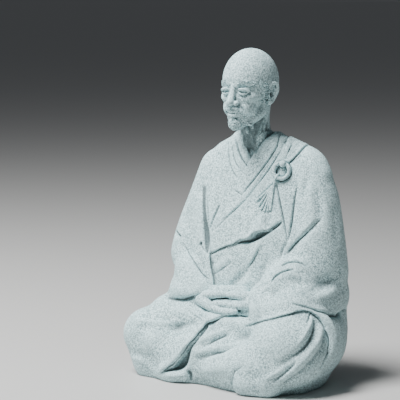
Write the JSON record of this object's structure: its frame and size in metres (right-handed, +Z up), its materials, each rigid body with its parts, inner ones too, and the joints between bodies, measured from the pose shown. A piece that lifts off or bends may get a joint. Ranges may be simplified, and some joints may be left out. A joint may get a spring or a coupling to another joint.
{
  "type": "seated monk figurine",
  "caption": "Cast stone figurine of a seated, robed, bald and bearded man with hands folded in the lap; stands by its own weight as an ornament.",
  "frame": {"origin": "centre of the figure's extent on the plane of its flat underside", "axes": "+Z up through the crown, the figure faces -Y, and its own left hand is towards +X"},
  "size_m": [0.1464, 0.0986, 0.2],
  "materials": {
    "cast_stone": "matt, finely speckled pale grey cast stone"
  },
  "bodies": {
    "root": {"monk_figurine": "cast_stone"}
  },
  "joints": []
}
